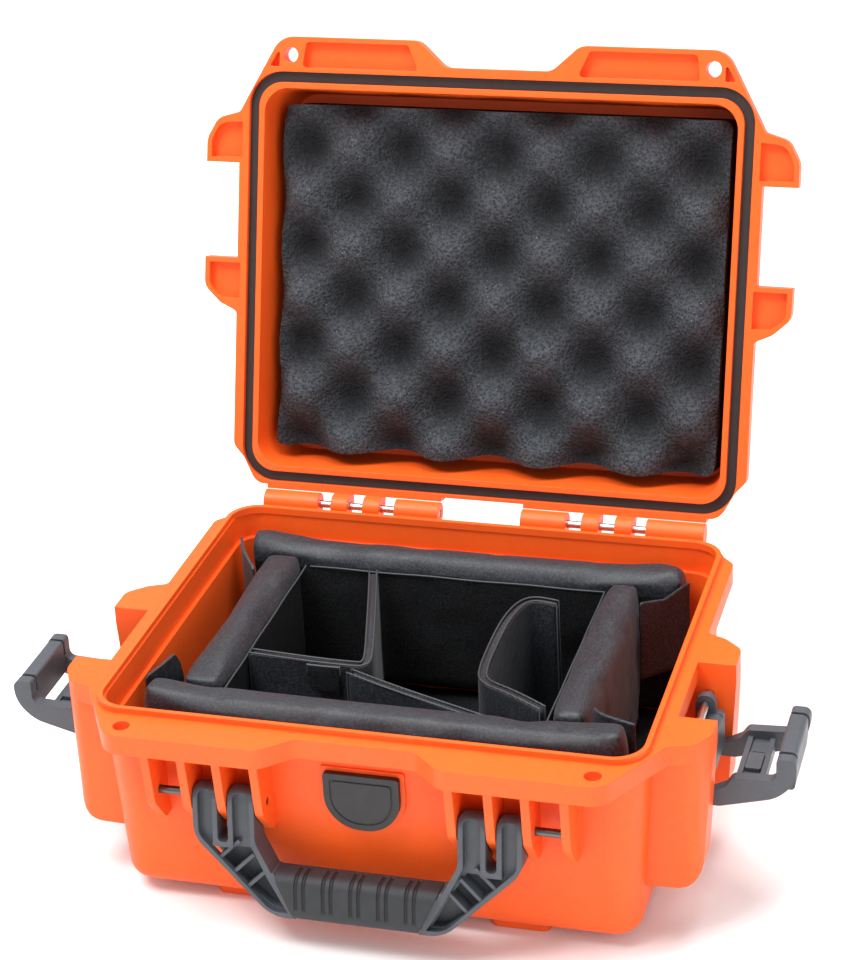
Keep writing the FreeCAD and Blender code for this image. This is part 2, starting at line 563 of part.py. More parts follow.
def make_handle():
    frame = new_body("handle_frame")
    core_low, core_high = f"({HANDLE_LOW} + core_inset)", f"({HANDLE_HIGH} - core_inset)"
    pad(frame, "XZ", f"{HANDLE_Y} - handle_half", f"{HANDLE_Y} + handle_half", both_sides([
        (grip_end(core_low, "0.3"), core_low, 0),
        (grip_end(HANDLE_LOW, "0.3"), HANDLE_LOW, 0),
        ("grip_low_half + 12", HANDLE_LOW, 18),
        (ARM_OUTER, ARM_KNEE, 15),
        (ARM_OUTER, FINGER_TOP, 5),
        (FORK_OUTER, FINGER_TOP, 5),
        (FORK_OUTER, f"{HANDLE_Z} - fork_low", 2.4),
        (FORK_INNER, f"{HANDLE_Z} - fork_low", 2.4),
        (FORK_INNER, FINGER_TOP, 5),
        (ARM_INNER, FINGER_TOP, 5),
        (ARM_INNER, ARM_KNEE, 12),
        (grip_end(HANDLE_HIGH, "1.6"), HANDLE_HIGH, 0),
        (grip_end(HANDLE_HIGH, "0.3"), HANDLE_HIGH, 0),
        (grip_end(core_high, "0.3"), core_high, 0),
    ]))
    # The finger tips are round about the pin.
    pocket(frame, "YZ", "-side_half", "side_half", [
        (f"{HANDLE_Y} - handle_half - 4", HANDLE_Z, 0),
        (f"{HANDLE_Y} - handle_half", HANDLE_Z, 0),
        (f"{HANDLE_Y} - handle_half", f"{HANDLE_Z} + handle_half + 0.1", "handle_half - 0.05"),
        (f"{HANDLE_Y} + handle_half", f"{HANDLE_Z} + handle_half + 0.1", "handle_half - 0.05"),
        (f"{HANDLE_Y} + handle_half", HANDLE_Z, 0),
        (f"{HANDLE_Y} + handle_half + 4", HANDLE_Z, 0),
        (f"{HANDLE_Y} + handle_half + 4", f"{HANDLE_Z} + 14", 0),
        (f"{HANDLE_Y} - handle_half - 4", f"{HANDLE_Z} + 14", 0),
    ])
    front = f"({HANDLE_Y} - handle_half)"
    for side in (1, -1):
        # Looped channel in the two fingers, then the deeper channel in the slanted arm.
        pocket(frame, "XZ", f"{front} - 1", f"{front} + channel_shallow", signed(side, [
            (f"{ARM_OUTER} - channel_wall", f"{HANDLE_Z} + 4.5", 3),
            (f"{FORK_OUTER} + channel_wall", f"{HANDLE_Z} + 4.5", 3),
            (f"{FORK_OUTER} + channel_wall", f"{HANDLE_Z} - fork_low - channel_wall", 0),
            (f"{FORK_INNER} - channel_wall", f"{HANDLE_Z} - fork_low - channel_wall", 0),
            (f"{FORK_INNER} - channel_wall", f"{HANDLE_Z} + 4.5", 3),
            (f"{ARM_INNER} + channel_wall", f"{HANDLE_Z} + 4.5", 3),
            (f"{ARM_INNER} + channel_wall", f"{ARM_KNEE} - 1", 4),
            (grip_end(HANDLE_HIGH, "3.4"), f"{HANDLE_HIGH} - 3", 3),
            (grip_end(HANDLE_LOW, "4"), f"{HANDLE_LOW} + channel_wall", 0),
            ("grip_low_half + 12", f"{HANDLE_LOW} + channel_wall", 10),
            (f"{ARM_OUTER} - channel_wall", f"{ARM_KNEE} + 1", 8),
        ]))
        pocket(frame, "XZ", f"{front} + channel_shallow - 0.2", f"{front} + channel_deep", signed(side, [
            (f"{ARM_OUTER} - channel_wall - 1", f"{HANDLE_Z} - fork_low - channel_wall - 0.5", 0),
            (f"{ARM_INNER} + channel_wall + 1", f"{HANDLE_Z} - fork_low - channel_wall - 0.5", 0),
            (grip_end(HANDLE_HIGH, "4.4"), f"{HANDLE_HIGH} - 3", 0),
            (grip_end(HANDLE_LOW, "6"), f"{HANDLE_LOW} + channel_wall + 1", 0),
            ("grip_low_half + 12", f"{HANDLE_LOW} + channel_wall + 1", 8),
        ]))
        for share in (0.25, 0.5, 0.75):
            corners = [arm_point(share, -7), arm_point(share, 8)]
            (x_a, z_a), (x_b, z_b) = corners
            pad(frame, "XZ", f"{front} + 1", f"{front} + channel_deep + 0.5", signed(side, [
                (f"{x_a} - 0.6", f"{z_a} - 0.6", 0), (f"{x_b} - 0.6", f"{z_b} - 0.6", 0),
                (f"{x_b} + 0.6", f"{z_b} + 0.6", 0), (f"{x_a} + 0.6", f"{z_a} + 0.6", 0)]))
    pocket(frame, "YZ", "-side_half", "side_half", circles=[(HANDLE_Y, HANDLE_Z, "pin_radius + pin_fit")])

    grip = new_body("handle_grip")
    half = "(handle_half + grip_skin)"
    low, high = f"({HANDLE_LOW} - 0.4)", f"({HANDLE_HIGH} + 0.4)"
    pad(grip, "XZ", f"{HANDLE_Y} - {half}", f"{HANDLE_Y} + {half}", both_sides([
        (grip_end(low, "0"), low, 0), (grip_end(high, "0"), high, 0)]))
    round_edges(grip, "6", along_x(value("grip_low_half")))
    pocket(grip, "YZ", "-side_half", "side_half", rectangle(
        f"{HANDLE_Y} - handle_half", f"{HANDLE_Y} + handle_half", core_low, core_high))
    for piece in (frame, grip):
        turn_about_x(piece, HANDLE_Y, HANDLE_Z, "handle_tilt")
    for name, side in (("right", 1), ("left", -1)):
        low, high = "rib_inner + 0.4", "rib_end + rib_width - 2"
        if side < 0:
            low, high = f"-({high})", f"-({low})"
        cylinder(f"handle_pin_{name}", "x", "pin_radius", low, high, HANDLE_Y, HANDLE_Z)


# ------------------------------------------------------------------------------------ relief valve
def make_valve():
    cover = new_body("vent_cover")
    pad(cover, "XZ", f"{VENT_FACE} - 0.1 - vent_thick", f"{VENT_FACE} - 0.1", vent_outline("0"))
    pocket(cover, "XZ", f"{VENT_FACE} - 1 - vent_thick", f"{VENT_FACE} + 0.4 - vent_thick",
           vent_outline("-3"), vent_outline("-3.9"))

    body = new_body("valve_body")
    pad(body, "XZ", f"{VENT_FACE} + 0.3", f"{VENT_FACE} + 1.9", circles=[("0", VENT_Z, "valve_head")])
    pad(body, "XZ", f"{VENT_FACE} + 1.8", f"{VENT_FACE} + 11.5", circles=[("0", VENT_Z, "valve_radius")])
    pocket(body, "XZ", f"{VENT_FACE} - 1", f"{VENT_FACE} + 1.1", circles=[("0", VENT_Z, "valve_radius - 0.8")])
    pocket(body, "XZ", f"{VENT_FACE} + 1", f"{VENT_FACE} + 13", circles=[("0", VENT_Z, "valve_radius - 3")])
    cylinder("valve_membrane", "y", "valve_radius - 1", f"{VENT_FACE} + 0.5", f"{VENT_FACE} + 1.05", "0", VENT_Z)

    seal = doc.addObject("Part::Torus", "valve_seal")
    seal.Label = "valve_seal"
    seal.Placement = FreeCAD.Placement(FreeCAD.Vector(), AXIS_TURN["y"])
    seal.setExpression("Radius1", bound("valve_radius + 2"))
    seal.setExpression("Radius2", "0.6")
    seal.setExpression("Placement.Base.y", bound(f"{VENT_FACE} + 2.55"))
    seal.setExpression("Placement.Base.z", bound(VENT_Z))

    nut = new_body("valve_nut")
    across = "(valve_radius + 3)"
    points = [(f"{across} * {math.cos(math.radians(60 * k)):.4f}",
               f"{VENT_Z} + {across} * {math.sin(math.radians(60 * k)):.4f}", 0) for k in range(6)]
    pad(nut, "XZ", f"-({CAVITY_FRONT} - 2.7)", f"-({CAVITY_FRONT} - 6.7)", points,
        circles=[("0", VENT_Z, "valve_radius + pin_fit")])


# ----------------------------------------------------------------------------------------- latches
def lever_arm():
    """Side view of the lever's arm, lying out from its pin, with the claw's cheek at its end."""
    return [
        (f"{LEVER_X} - 5", f"{LEVER_Z} + 5", 4.9),
        (f"{LEVER_X} - 5", f"{LEVER_Z} - arm_drop + 0.5", 5),
        (f"{LEVER_X} + 14", f"{LEVER_Z} - arm_drop", 6),
        (f"{LEVER_X} + 40", f"{LEVER_Z} - arm_drop + 7", 18),
        (f"{LEVER_X} + arm_reach + claw_thick + 1", f"{LEVER_Z} - arm_drop + 16.5", 17),
        (f"{LEVER_X} + arm_reach + claw_thick + 0.4", f"{LEVER_Z} + claw_height", 3.5),
        (f"{LEVER_X} + arm_reach", f"{LEVER_Z} + claw_height", 2),
        (f"{LEVER_X} + arm_reach", f"{LEVER_Z} + 1", 3.5),
        (f"{LEVER_X} + 20", f"{LEVER_Z}", 3),
        (f"{LEVER_X} + 17", f"{LEVER_Z} - 4.5", 2),
        (f"{LEVER_X} + 8.5", f"{LEVER_Z} - 9", 2),
        (f"{LEVER_X} + 5", f"{LEVER_Z} - 5", 1.5),
        (f"{LEVER_X} + 5", f"{LEVER_Z} + 5", 4.9),
    ]


def link_plate():
    """Side view of the link's cheek: the link pin's boss on top, the lever pin's boss below."""
    return [
        (f"{LINK_X} - 4.8", f"{LINK_Z} + 4.8", 4.7),
        (f"{LINK_X} - 4.8", f"{LEVER_Z} - 9", 3),
        (f"{LINK_X} + 8.5", f"{LEVER_Z} - 9", 3),
        (f"{LINK_X} + 8.5", f"{LINK_Z} - 4", 3),
        (f"{LINK_X} + 4.8", f"{LINK_Z} - 4", 0),
        (f"{LINK_X} + 4.8", f"{LINK_Z} + 4.8", 4.7),
    ]


def make_latch(name, side):
    gap_low, gap_high = f"({GAP_FRONT} + side_play)", f"({GAP_REAR} - side_play)"
    arm_low, arm_high = f"({gap_low} + arm_width)", f"({gap_high} - arm_width)"
    link_low, link_high = f"({arm_low} + side_play)", f"({arm_high} - side_play)"

    lever = new_body(f"latch_lever_{name}")
    pad(lever, "XZ", gap_low, arm_low, signed(side, lever_arm()))
    web_left, web_right = f"{LEVER_X} + 20.5", f"{LEVER_X} + 33.5"
    web_top, web_low = f"({LEVER_Z} - 4.5)", f"({LEVER_Z} - 9)"
    # Web between the arms, its two raised borders, and the claw bar.
    pad(lever, "XZ", f"{arm_low} - 0.5", f"{arm_high} + 0.5", signed(side, [
        (web_left, web_low, 0), (web_right, web_low, 0), (web_right, f"{web_top} + 1.5", 0),
        (f"{web_right} - 2.5", f"{web_top} + 1.5", 0), (f"{web_right} - 2.5", web_top, 0),
        (f"{web_left} + 2.5", web_top, 0), (f"{web_left} + 2.5", f"{web_top} + 1.5", 0),
        (web_left, f"{web_top} + 1.5", 0)]))
    pad(lever, "XZ", f"{arm_low} - 0.5", f"{arm_high} + 0.5", signed(side, [
        (f"{LEVER_X} + arm_reach", f"{LEVER_Z} - 6", 2),
        (f"{LEVER_X} + arm_reach + claw_thick - 0.8", f"{LEVER_Z} - 6", 2),
        (f"{LEVER_X} + arm_reach + claw_thick", f"{LEVER_Z} + 4", 0),
        (f"{LEVER_X} + arm_reach", f"{LEVER_Z} + 4", 0)]))
    pad(lever, "XZ", f"{arm_low} + 2", f"{arm_high} - 2", signed(side, [
        (f"{LEVER_X} + arm_reach", f"{LEVER_Z} + 3.5", 0),
        (f"{LEVER_X} + arm_reach + claw_thick", f"{LEVER_Z} + 3.5", 0),
        (f"{LEVER_X} + arm_reach + claw_thick", f"{LEVER_Z} + claw_height", 3),
        (f"{LEVER_X} + arm_reach", f"{LEVER_Z} + claw_height", 1.5)]))
    pad(lever, "XZ", arm_high, gap_high, signed(side, lever_arm()))
    pocket(lever, "XZ", f"{gap_low} - 1", f"{gap_high} + 1",
           circles=[(f"{side} * {LEVER_X}", LEVER_Z, "pin_radius + pin_fit")])
    # Slot in the web for the lock slider's neck.
    slot_middle, slot_half = f"({web_left} + 6.5)", "3"
    pocket(lever, "XY", f"{LEVER_Z} - 12", f"{LEVER_Z}", signed(side, rectangle(
        f"{slot_middle} - {slot_half}", f"{slot_middle} + {slot_half}",
        "latch_middle - 8", "latch_middle + 8", 1)))

    link = new_body(f"latch_link_{name}")
    pad(link, "XZ", link_low, f"{link_low} + link_width", signed(side, link_plate()))
    # One plate over the top and down the outside joins the two cheeks.
    pad(link, "XZ", f"{link_low} + link_width - 0.5", f"{link_high} - link_width + 0.5", signed(side, [
        (f"{LINK_X} - 2", f"{LINK_Z} - 8", 0),
        (f"{LINK_X} - 2", f"{LINK_Z} - 4.5", 0),
        (f"{LINK_X} + 8.5", f"{LINK_Z} - 4.5", 3),
        (f"{LINK_X} + 8.5", f"{LEVER_Z} - 7.5", 0),
        (f"{LINK_X} + 5", f"{LEVER_Z} - 7.5", 0),
        (f"{LINK_X} + 5", f"{LINK_Z} - 8", 1),
    ]))
    pad(link, "XZ", f"{link_high} - link_width", link_high, signed(side, link_plate()))
    pocket(link, "XZ", f"{link_low} - 1", f"{link_high} + 1", circles=[
        (f"{side} * {LINK_X}", LINK_Z, "pin_radius + pin_fit"),
        (f"{side} * {LEVER_X}", LEVER_Z, "pin_radius + pin_fit")])

    lock = new_body(f"latch_lock_{name}")
    middle = f"({slot_middle})"
    start = "(latch_middle - 3)"
    for half_x, half_y, low, high in (
            ("lock_width / 2", "lock_length / 2", f"{web_top} + 0.3", f"{web_top} + 2.1"),
            ("2.7", "4.5", f"{web_low} - 0.4", f"{web_top} + 0.4"),
            ("lock_width / 2", "lock_length / 2", f"{web_low} - 2.1", f"{web_low} - 0.3")):
        pad(lock, "XY", low, high, signed(side, rectangle(
            f"{middle} - {half_x}", f"{middle} + {half_x}", f"{start} - {half_y}", f"{start} + {half_y}", 1)))

    cylinder(f"latch_link_pin_{name}", "y", "pin_radius", f"{GAP_FRONT} - 5.5", f"{GAP_REAR} + 5.5",
             f"{side} * {LINK_X}", LINK_Z)
    cylinder(f"latch_lever_pin_{name}", "y", "pin_radius", f"{gap_low} + 0.4", f"{gap_high} - 0.4",
             f"{side} * {LEVER_X}", LEVER_Z)


# ---------------------------------------------------------------------------------- padded insert
def divider(label, start_x, start_y, end_x, end_y, low):
    """An upright padded divider between two points in plan, as thick as the sheet says."""
    block = doc.addObject("Part::Box", label)
    block.Label = label
    span_x, span_y = f"({end_x} - ({start_x}))", f"({end_y} - ({start_y}))"
    length = f"sqrt({span_x} * {span_x} + {span_y} * {span_y})"
    block.setExpression("Length", bound(length))
    block.setExpression("Width", bound("divider_thick"))
    block.setExpression("Height", bound("divider_height"))
    for name, number in (("x", "0"), ("y", "0"), ("z", "1")):
        block.setExpression(f"Placement.Rotation.Axis.{name}", number)
    block.setExpression("Placement.Rotation.Angle", bound(f"atan2({span_y}; {span_x})"))
    block.setExpression("Placement.Base.x", bound(f"{start_x} + {span_y} / {length} * divider_thick / 2"))
    block.setExpression("Placement.Base.y", bound(f"{start_y} - {span_x} / {length} * divider_thick / 2"))
    block.setExpression("Placement.Base.z", bound(low))
    return block


def make_insert():
    side = f"({CAVITY_SIDE} - draft - 1.5)"
    back_inner = f"({PAD_BACK} - back_pad)"
    front_outer = "(front_pad_face - front_pad)"
    top = f"({PAD_LOW} + pad_height)"
    left_outer, right_outer = "(left_pad_face - left_pad)", "(right_pad_face + right_pad)"
    floor = new_body("insert_floor")
    pad(floor, "XY", "floor_height + 0.3", "floor_height + 0.3 + pad_floor", [
        (f"-{side}", front_outer, 0), (side, front_outer, 0),
        (side, PAD_BACK, "tub_corner - 5"), (f"-{side}", PAD_BACK, "tub_corner - 5")])
    back_wall = new_body("insert_back_wall")
    pad(back_wall, "XY", PAD_LOW, top, [
        (f"-{side}", back_inner, 0), (side, back_inner, 0),
        (side, PAD_BACK, "tub_corner - 5"), (f"-{side}", PAD_BACK, "tub_corner - 5")])
    box("insert_front_wall", f"-{side}", side, front_outer, "front_pad_face", PAD_LOW, top)
    between = ("front_pad_face + soft_gap", f"{back_inner} - soft_gap")
    box("insert_left_wall", left_outer, "left_pad_face", *between, PAD_LOW, top)
    box("insert_right_wall", "right_pad_face", right_outer, *between, PAD_LOW, top)

    # Left: one divider from the back wall, one across to the left wall, one slanting to the front.
    corner_x, corner_y = "(left_pad_face + 60)", "(front_pad_face + 38)"
    divider("divider_left_side", f"{corner_x} - 24", f"{back_inner} - 1.2", corner_x, f"{corner_y} + 5", PAD_LOW)
    divider("divider_left_cross", "left_pad_face + 0.5", f"{corner_y} + 1.5", f"{corner_x} + 1",
            f"{corner_y} - 0.5", PAD_LOW)
    divider("divider_front", f"{corner_x} - 6", f"{corner_y} - 7.5", f"{corner_x} + 69", "front_pad_face + 5",
            PAD_LOW)
    # Right: one divider folded twice, so that it stands as three leaves.
    fold_x, fold_y = "(right_pad_face - 40.5)", f"({corner_y} - 1)"
    divider("divider_right_middle", fold_x, fold_y, f"{fold_x} + 1.5", f"{back_inner} - 23", PAD_LOW)
    divider("divider_right_back", f"{fold_x} + 4.5", f"{back_inner} - 20", f"{fold_x} + 21",
            f"{back_inner} - 20", PAD_LOW)
    divider("divider_right_front", f"{fold_x} + 3", f"{fold_y} - 4.5", "right_pad_face - 3.5",
            "front_pad_face + 13", PAD_LOW)
    tab_low, tab_high = f"({corner_y} - 5)", f"({corner_y} - 3.6)"
    box("divider_tab", f"{corner_x} - 28", f"{corner_x} - 11", tab_low, tab_high,
        f"{PAD_LOW} + divider_height - 16", f"{PAD_LOW} + divider_height - 1")


# ------------------------------------------------------------------------------------------- build
make_base_shell()
make_hinge_pins()
make_lid()
make_handle()
make_valve()
make_latch("right", 1)
make_latch("left", -1)
make_insert()
doc.recompute()

pieces = [thing for thing in doc.Objects
          if thing.TypeId == "PartDesign::Body" or thing.TypeId.startswith("Part::")]
faults = [f"{thing.Label}: {thing.State}" for thing in doc.Objects
          if "Invalid" in thing.State or "Error" in thing.State]
for piece in pieces:
    if piece.Shape.isNull() or not piece.Shape.isValid():
        faults.append(f"{piece.Label}: shape is missing or not valid")
    elif len(piece.Shape.Solids) != 1:
        faults.append(f"{piece.Label}: {len(piece.Shape.Solids)} solids")
if faults:
    raise RuntimeError("; ".join(faults))

os.makedirs("parts", exist_ok=True)
for piece in pieces:
    piece.Shape.exportStep(f"parts/{piece.Label}.step")
    print(f"{piece.Label:24s} volume {piece.Shape.Volume / 1000:9.2f} cm3")
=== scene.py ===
import math

import bpy
from bpy.props import FloatProperty, FloatVectorProperty, PointerProperty
from mathutils import Matrix, Vector, noise


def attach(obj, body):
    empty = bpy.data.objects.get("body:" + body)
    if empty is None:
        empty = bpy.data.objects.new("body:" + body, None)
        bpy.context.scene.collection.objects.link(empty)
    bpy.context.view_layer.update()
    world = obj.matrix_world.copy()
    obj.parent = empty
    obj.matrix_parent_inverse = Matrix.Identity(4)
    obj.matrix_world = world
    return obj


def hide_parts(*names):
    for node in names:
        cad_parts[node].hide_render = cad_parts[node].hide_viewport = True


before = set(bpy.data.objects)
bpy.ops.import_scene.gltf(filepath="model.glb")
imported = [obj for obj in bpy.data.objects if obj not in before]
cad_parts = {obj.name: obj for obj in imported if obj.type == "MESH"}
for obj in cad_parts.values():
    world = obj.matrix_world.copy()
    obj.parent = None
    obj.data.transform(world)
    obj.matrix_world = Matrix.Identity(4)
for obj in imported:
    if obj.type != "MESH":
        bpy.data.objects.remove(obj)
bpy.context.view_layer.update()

bl_info = {
    "name": "Open equipment case",
    "version": (1, 0, 0),
    "blender": (4, 5, 0),
    "location": "View3D > Sidebar > Case",
    "description": "Finishes, padded insert and egg-crate foam for an open hard case",
    "category": "Object",
}

HINGE_AXIS = Vector((0.0, 0.120, 0.106))
LID_ANGLE = math.radians(106.87)
FOAM_PEAKS = 0.1130   # height of the foam's peaks and back with the lid shut
FOAM_BACK = 0.1486
FOAM_ROW = 0.0110     # a row of valleys crosses the foam here
INSERT_LOW = 0.0161   # where the insert's walls and dividers stand on the floor pad
SEAM = 0.0885         # the bolsters' seam, and the side walls' a little higher
SIDE_SEAM = 0.0900


# ---------------------------------------------------------------------------------- shader maths
class Wire:
    """A value on its way between shader nodes; sums on wires add their Math nodes."""

    def __init__(self, finish, socket):
        self.finish = finish
        self.socket = socket

    def maths(self, operation, *values):
        return self.finish.maths(operation, *values)

    def __add__(self, other):
        return self.maths("ADD", self, other)

    def __radd__(self, other):
        return self.maths("ADD", other, self)

    def __sub__(self, other):
        return self.maths("SUBTRACT", self, other)

    def __rsub__(self, other):
        return self.maths("SUBTRACT", other, self)

    def __mul__(self, other):
        return self.maths("MULTIPLY", self, other)

    def __rmul__(self, other):
        return self.maths("MULTIPLY", other, self)

    def sine(self):
        return self.maths("SINE", self)

    def size(self):
        return self.maths("ABSOLUTE", self)

    def larger(self, other):
        return self.maths("MAXIMUM", self, other)


class Finish:
    """One procedural material and the few moves that its nodes are made with."""

    def __init__(self, name):
        self.material = bpy.data.materials.new(name)
        self.material.use_nodes = True
        self.tree = self.material.node_tree
        self.tree.nodes.clear()
        coordinates = self.tree.nodes.new("ShaderNodeTexCoord")
        self.place = Wire(self, coordinates.outputs["Object"])

    def node(self, kind, settings=None, inputs=None, output=0):
        """Any node: its settings first, then the values or links of its sockets."""
        made = self.tree.nodes.new(kind)
        for key, value in (settings or {}).items():
            setattr(made, key, value)
        for key, value in (inputs or {}).items():
            if isinstance(value, Wire):
                self.tree.links.new(value.socket, made.inputs[key])
            else:
                made.inputs[key].default_value = value
        return Wire(self, made.outputs[output]) if len(made.outputs) else None

    def maths(self, operation, *values):
        return self.node("ShaderNodeMath", {"operation": operation}, dict(enumerate(values)))

    def axes(self):
        """The three Object coordinates, each on its own wire."""
        split = self.tree.nodes.new("ShaderNodeSeparateXYZ")
        self.tree.links.new(self.place.socket, split.inputs[0])
        return [Wire(self, split.outputs[k]) for k in range(3)]

    def grain(self, scale, detail=3.0, rough=0.55, stretch=None):
        """Noise from 0 to 1 at a scale in waves per metre."""
        where = self.place
        if stretch:
            where = self.node("ShaderNodeMapping", None, {"Vector": self.place, "Scale": stretch})
        return self.node("ShaderNodeTexNoise", None, {
            "Vector": where, "Scale": scale, "Detail": detail, "Roughness": rough})

    def cells(self, scale):
        """Distance to the nearest of many scattered points, for pores and pebbled rubber."""
        return self.node("ShaderNodeTexVoronoi", None, {"Vector": self.place, "Scale": scale})

    def spread(self, value, low, high, to_low=0.0, to_high=1.0):
        """A value taken from one range to another and held within it."""
        return self.node("ShaderNodeMapRange", None, {
            "Value": value, "From Min": low, "From Max": high, "To Min": to_low, "To Max": to_high})

    def blend(self, share, one, other):
        """A colour between two others."""
        return self.node("ShaderNodeMix", {"data_type": "RGBA"}, {
            0: share, 6: colour(one), 7: colour(other)}, output=2)

    def bump(self, height, depth, strength=1.0, under=None):
        """A normal raised by a height from 0 to 1, with its depth in metres."""
        sockets = {"Height": height, "Distance": depth, "Strength": strength}
        if under is not None:
            sockets["Normal"] = under
        return self.node("ShaderNodeBump", None, sockets)

    def soft_edge(self, radius):
        """A normal that rounds sharp edges by a small radius."""
        return self.node("ShaderNodeBevel", {"samples": 4}, {"Radius": radius})

    def close(self, **sockets):
        """The shader itself and the material's output."""
        named = {key.replace("_", " ").title().replace("Ior", "IOR"): value
                 for key, value in sockets.items()}
        for key in ("Base Color", "Sheen Tint"):
            if key in named:
                named[key] = colour(named[key])
        shader = self.node("ShaderNodeBsdfPrincipled", None, named)
        self.node("ShaderNodeOutputMaterial", None, {"Surface": shader})
        return self.material


def colour(value):
    return value if isinstance(value, Wire) or len(value) == 4 else (*value, 1.0)


# -------------------------------------------------------------------------------------- finishes
def orange_resin(tint):
    """Moulded polypropylene with a fine satin texture, paler where it is rubbed."""
    finish = Finish("orange_resin_moulded")
    cloud = finish.grain(14, 2.0)
    fine = finish.grain(900, 2.0)
    shade = finish.spread(cloud, 0.3, 0.7)
    base = finish.blend(shade, tint, [c * 0.93 for c in tint])
    speck = finish.spread(finish.grain(260, 4.0), 0.35, 0.75, 0.0, 0.10)
    base = finish.blend(speck, base, (0.97, 0.22, 0.04))
    roughness = finish.spread(finish.grain(40, 4.0), 0.3, 0.7, 0.36, 0.46)
    normal = finish.bump(fine, 0.00006, 0.5, finish.soft_edge(0.0006))
    return finish.close(base_color=base, roughness=roughness, normal=normal,
                        specular_ior_level=0.32)


def slate_plastic(tint):
    """Glass-filled nylon of the latches and handle."""
    finish = Finish("slate_nylon")
    base = finish.blend(finish.spread(finish.grain(60, 4.0), 0.3, 0.7), tint, [c * 0.82 for c in tint])
    rub = finish.spread(finish.grain(420, 3.0), 0.55, 0.8, 0.0, 0.25)
    base = finish.blend(rub, base, [c * 1.7 for c in tint])
    roughness = finish.spread(finish.grain(90, 3.0), 0.3, 0.7, 0.40, 0.54)
    normal = finish.bump(finish.grain(1300, 2.0), 0.00005, 0.6, finish.soft_edge(0.0005))
    return finish.close(base_color=base, roughness=roughness, normal=normal)


def soft_grip(tint):
    """Grip rubber with five pairs of moulded grooves across its front and top, painted darker inside as
    shade.
    """
    finish = Finish("grip_rubber")
    x, y, z = finish.axes()
    nearest = finish.maths("PINGPONG", x, 0.0066)
    groove = finish.spread((nearest - 0.0019).size(), 0.0004, 0.0010)
    plain = finish.spread(x.size(), 0.0320, 0.0325).larger(finish.spread(y, -0.1125, -0.1115))
    below = finish.spread(z, 0.0225, 0.0240, 1.0, 0.0)
    height = groove.larger(plain).larger(below)
    base = finish.blend(finish.spread(finish.grain(120, 4.0), 0.3, 0.7), tint, [c * 0.75 for c in tint])
    # Painted shade: the grooves take a far darker colour than the rubber around them.
    base = finish.blend(height, [c * 0.25 for c in tint], base)
    normal = finish.bump(finish.cells(1500), 0.00008, 0.6, finish.soft_edge(0.0004))
    normal = finish.bump(height, 0.0009, 1.0, normal)
    return finish.close(base_color=base, roughness=0.62, normal=normal, specular_ior_level=0.4)


def dark_plastic(tint):
    """Matt plastic of the relief valve."""
    finish = Finish("dark_cover_plastic")
    base = finish.blend(finish.spread(finish.grain(150, 4.0), 0.35, 0.65), tint, [c * 0.7 for c in tint])
    normal = finish.bump(finish.grain(1500, 2.0), 0.00005, 0.6, finish.soft_edge(0.0004))
    return finish.close(base_color=base, roughness=0.5, normal=normal)


def steel(name, shade=1.0):
    """Brushed steel of the pins; a shade under 1 darkens it."""
    finish = Finish(name)
    brushed = finish.grain(300, 3.0, stretch=(0.15, 1.0, 1.0))
    bright = [c * shade for c in (0.62, 0.61, 0.58)]
    dull = [c * shade for c in (0.44, 0.43, 0.42)]
    base = finish.blend(brushed, bright, dull)
    roughness = finish.spread(brushed, 0.3, 0.7, 0.2, 0.36)
    return finish.close(base_color=base, roughness=roughness, metallic=1.0,
                        normal=finish.bump(brushed, 0.00003, 0.4))


def seal_rubber():
    """Smooth black rubber of the seals."""
    finish = Finish("seal_rubber_black")
    base = finish.blend(finish.grain(200, 4.0), (0.030, 0.020, 0.016), (0.012, 0.009, 0.008))
    return finish.close(base_color=base, roughness=0.55,
                        normal=finish.bump(finish.grain(900), 0.00006, 0.5))


def foam_black(depth):
    """Open-cell foam: matt charcoal with fine pores, with painted shade darkening its valleys and small
    painted glints.
    """
    finish = Finish("open_cell_foam")
    x, y, z = finish.axes()
    inward = ((y - HINGE_AXIS.y) * math.sin(LID_ANGLE) + (z - HINGE_AXIS.z) * math.cos(LID_ANGLE)
              + HINGE_AXIS.z)
    # Painted shade: the colour darkens towards the bottom of the valleys, where shade falls.
    painted_valley_shade = finish.spread(inward, FOAM_PEAKS + 0.15 * depth, FOAM_PEAKS + 1.05 * depth)
    pores = finish.spread(finish.cells(620), 0.1, 0.75)
    fine = finish.grain(1500, 4.0, 0.7)
    base = finish.blend(pores, (0.018, 0.020, 0.024), (0.058, 0.063, 0.072))
    # Painted glints: the peaks of the fine noise are coloured pale as small highlights.
    base = finish.blend(finish.spread(fine, 0.63, 0.70, 0.0, 0.9), base, (0.48, 0.50, 0.54))
    base = finish.blend(painted_valley_shade, base, (0.006, 0.006, 0.007))
    normal = finish.bump(pores + fine * 0.6, 0.0007, 0.9)
    return finish.close(base_color=base, roughness=0.85, normal=normal, specular_ior_level=0.25)


def weave(finish, threads, crisp=1.0):
    """Plain weave: two sets of threads that pass over each other."""
    x, y, z = finish.axes()
    across = ((x + z * 0.6) * threads).sine()
    along = ((y + z * 0.6) * threads).sine()
    return finish.spread(across * along * crisp, -1.0, 1.0)


